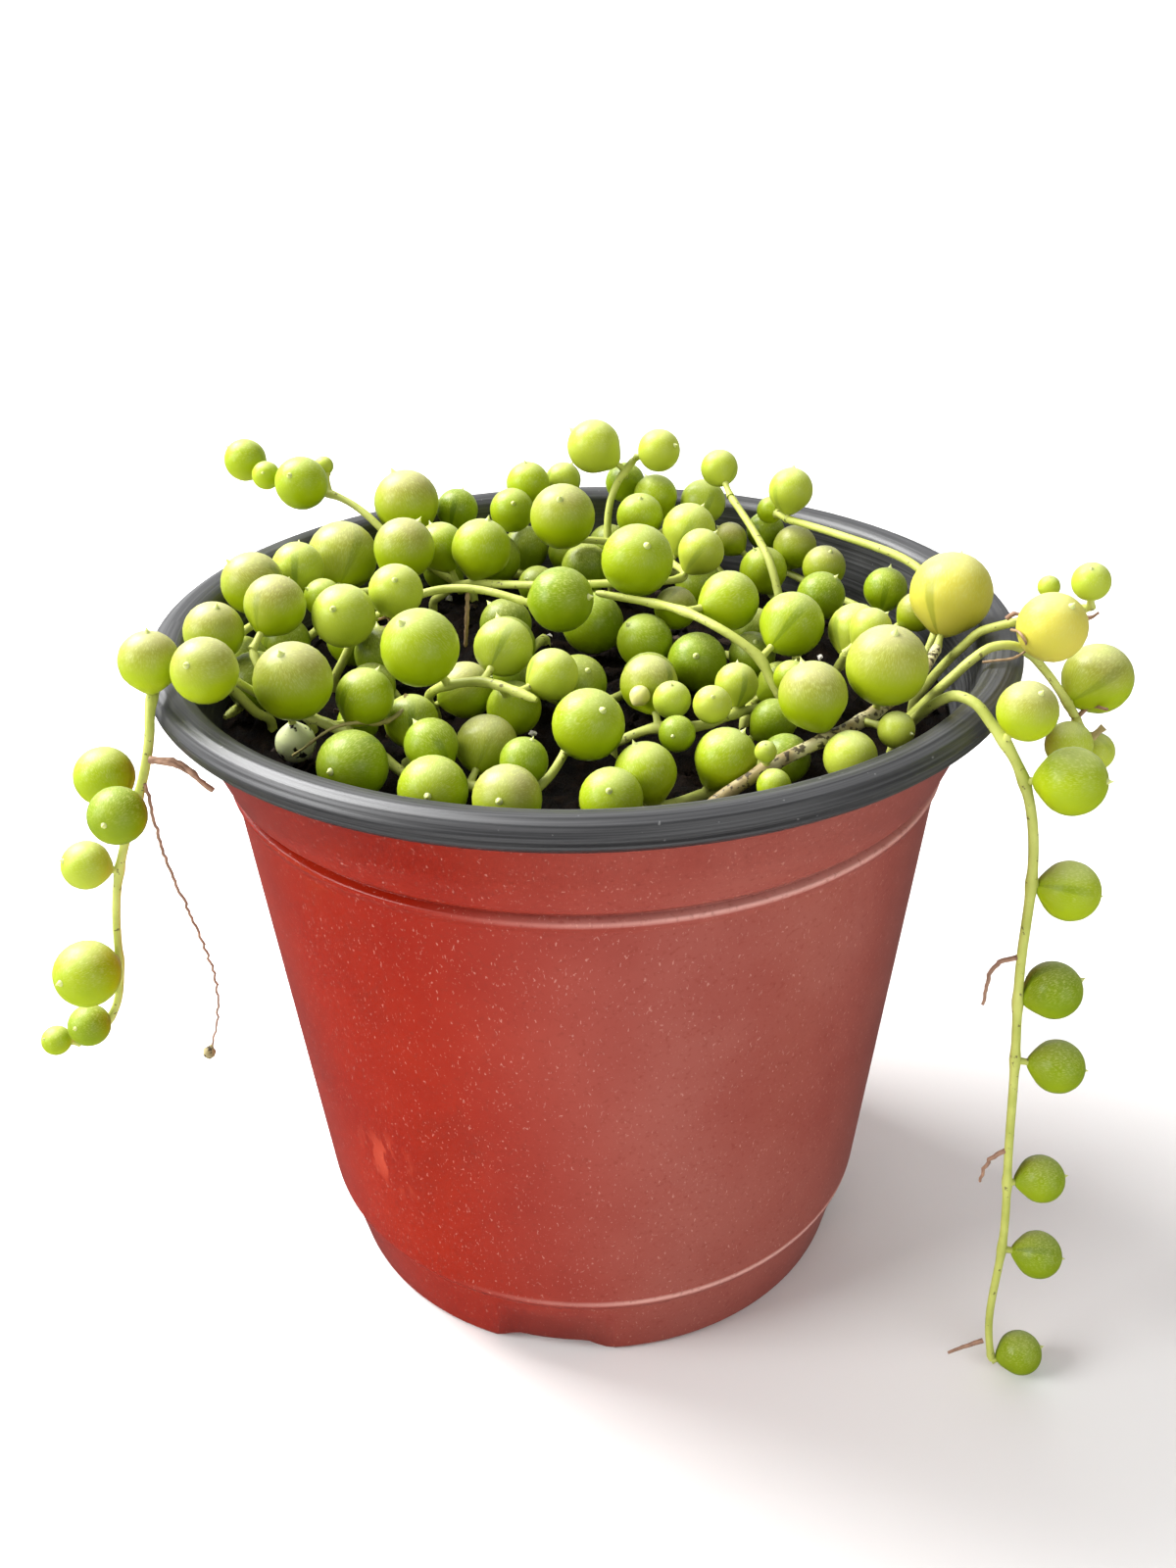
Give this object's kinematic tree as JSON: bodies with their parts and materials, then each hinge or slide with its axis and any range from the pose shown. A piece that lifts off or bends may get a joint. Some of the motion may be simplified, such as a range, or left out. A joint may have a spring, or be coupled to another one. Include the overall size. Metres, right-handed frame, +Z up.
{
  "type": "potted trailing succulent",
  "caption": "Trailing succulent with round bead-like leaves in a round thermoformed nursery pot with a rolled rim, filled with dark potting soil; some stems hang over the rim",
  "frame": {"origin": "on the pot's axis at the surface that the pot stands on, which is the middle of the bottom of the box round the whole plant", "axes": "+X to the viewer's right, towards the stem that reaches farthest past the rim; +Y to the back; +Z up"},
  "size_m": [0.124, 0.0998, 0.0976],
  "materials": {
    "pot": "satin thermoformed sheet, terracotta outside, black inside and on the rolled rim",
    "soil": "moist dark peat with pale grains of perlite and bits of bark",
    "fresh_leaf": "smooth waxy yellow-green succulent leaves and stems",
    "shaded_leaf": "smooth waxy mid-green succulent leaves and stems in the shade below the others"
  },
  "bodies": {
    "root": {"pot": "pot", "soil": "soil", "string_left_trailing": "fresh_leaf", "string_right_trailing": "fresh_leaf", "string_right_short": "fresh_leaf", "string_right_shoot": "fresh_leaf", "string_back_left_sprig": "fresh_leaf", "string_back_twin": "fresh_leaf", "string_back_right_upright": "fresh_leaf", "string_far_right": "fresh_leaf", "string_back_row_left": "fresh_leaf", "string_back_row_right": "fresh_leaf", "string_crown": "fresh_leaf", "string_left_rim": "fresh_leaf", "string_left_cluster": "fresh_leaf", "string_front_left": "fresh_leaf", "string_across_left": "fresh_leaf", "string_centre": "fresh_leaf", "string_right_across": "fresh_leaf", "string_old_branch": "fresh_leaf", "string_young_tip": "fresh_leaf", "string_right_low": "fresh_leaf", "string_right_pair": "fresh_leaf", "string_front_row_left": "fresh_leaf", "string_front_row_right": "fresh_leaf", "string_middle_low": "fresh_leaf", "string_low_back": "shaded_leaf", "string_low_left": "shaded_leaf", "string_low_middle_back": "shaded_leaf", "string_low_middle_left": "shaded_leaf", "string_low_middle_right": "shaded_leaf", "string_low_centre": "shaded_leaf"}
  },
  "joints": []
}
